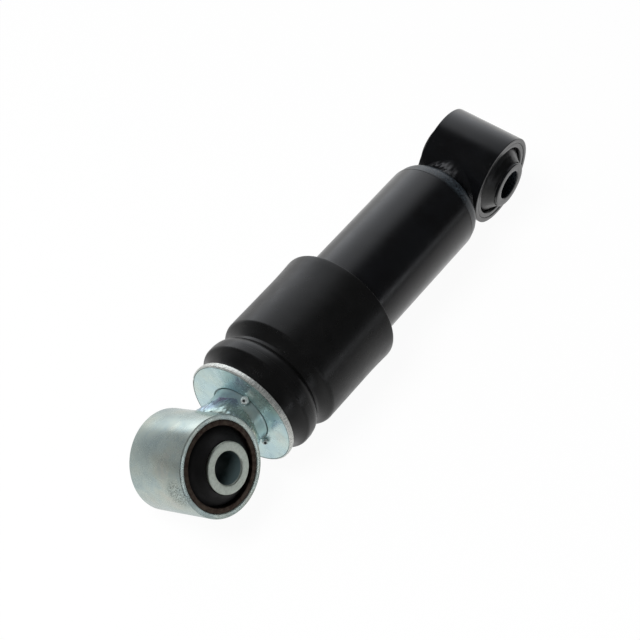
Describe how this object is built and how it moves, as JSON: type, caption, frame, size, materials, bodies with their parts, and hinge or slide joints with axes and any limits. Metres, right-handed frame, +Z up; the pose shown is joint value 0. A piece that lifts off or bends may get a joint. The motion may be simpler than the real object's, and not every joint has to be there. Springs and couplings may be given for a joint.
{
  "type": "cab shock absorber",
  "caption": "Short hydraulic twin-tube damper for a truck cab: a rubber-bushed eye at each end, a welded cover plate and a moulded dust boot over the black tube.",
  "frame": {"origin": "centre of the tube eye's bore", "axes": "+X along the damper towards the rod eye, +Y along the tube eye's bore, +Z up with the damper lying level"},
  "size_m": [0.222, 0.0522, 0.0522],
  "materials": {
    "zinc_plate": "zinc-plated, satin",
    "black_paint": "semi-gloss black paint",
    "bush_shell": "bonding primer on steel, brown",
    "bush_rubber": "matt black rubber",
    "sleeve_steel": "cut steel tube, matt",
    "boot_rubber": "satin moulded rubber",
    "valve_steel": "bright steel, oiled",
    "rod_chrome": "hard chrome, ground",
    "sintered_iron": "sintered iron, matt",
    "bearing_bronze": "bronze bearing bush",
    "band_plastic": "filled sliding plastic",
    "seal_rubber": "nitrile rubber",
    "buffer_rubber": "hard rubber"
  },
  "bodies": {
    "cylinder": {"reservoir_tube": "black_paint", "base_cap": "black_paint", "tube_eye_weld": "black_paint", "tube_eye": "black_paint", "tube_bush_shell": "black_paint", "tube_bush_rubber": "bush_rubber", "pressure_tube": "valve_steel", "base_valve_body": "sintered_iron", "base_valve_shim_1": "valve_steel", "base_valve_shim_2": "valve_steel", "base_valve_stop": "valve_steel", "base_valve_bolt": "valve_steel", "base_valve_nut": "valve_steel", "rod_guide": "sintered_iron", "guide_bush": "bearing_bronze", "guide_seal_ring": "seal_rubber", "rod_seal": "seal_rubber", "seal_cover": "valve_steel"},
    "tube_sleeve": {"tube_bush_sleeve": "black_paint"},
    "base_intake": {"base_intake_plate": "valve_steel"},
    "band": {"piston_band": "band_plastic"},
    "rod": {"piston_rod": "rod_chrome", "piston": "sintered_iron", "rebound_shim_1": "valve_steel", "rebound_shim_2": "valve_steel", "rebound_shim_3": "valve_steel", "piston_nut": "valve_steel", "piston_stop": "valve_steel", "rebound_stop": "valve_steel", "rebound_buffer": "buffer_rubber", "bump_stop": "buffer_rubber", "boot_retainer": "valve_steel", "cover_plate": "zinc_plate", "rod_hub": "zinc_plate", "rod_eye_weld": "zinc_plate", "tack_weld_1": "zinc_plate", "tack_weld_2": "zinc_plate", "tack_weld_3": "zinc_plate", "rod_eye": "zinc_plate", "rod_bush_shell": "bush_shell", "rod_bush_rubber": "bush_rubber", "dust_boot": "boot_rubber"},
    "rod_sleeve": {"rod_bush_sleeve": "sleeve_steel"},
    "piston_intake": {"piston_intake_plate": "valve_steel"}
  },
  "joints": [
    {"name": "rod_slide", "type": "slide", "parent": "cylinder", "child": "band", "axis": [1, 0, 0], "range_m": [-0.008, 0.0303]},
    {"name": "rod_spin", "type": "hinge", "parent": "band", "child": "rod", "pos_m": [0, 0, 0], "axis": [1, 0, 0], "continuous": true},
    {"name": "tube_bush_twist", "type": "hinge", "parent": "cylinder", "child": "tube_sleeve", "pos_m": [0, 0, 0], "axis": [0, 1, 0], "range_deg": [-20, 20], "stiffness_Nm_per_rad": 28},
    {"name": "rod_bush_twist", "type": "hinge", "parent": "rod", "child": "rod_sleeve", "pos_m": [0.184, 0, 0], "axis": [0, 0.8415, 0.5402], "range_deg": [-20, 20], "stiffness_Nm_per_rad": 28},
    {"name": "base_intake_lift", "type": "slide", "parent": "cylinder", "child": "base_intake", "axis": [1, 0, 0], "range_m": [0, 0.0008]},
    {"name": "piston_intake_lift", "type": "slide", "parent": "rod", "child": "piston_intake", "axis": [1, 0, 0], "range_m": [0, 0.0008]}
  ]
}
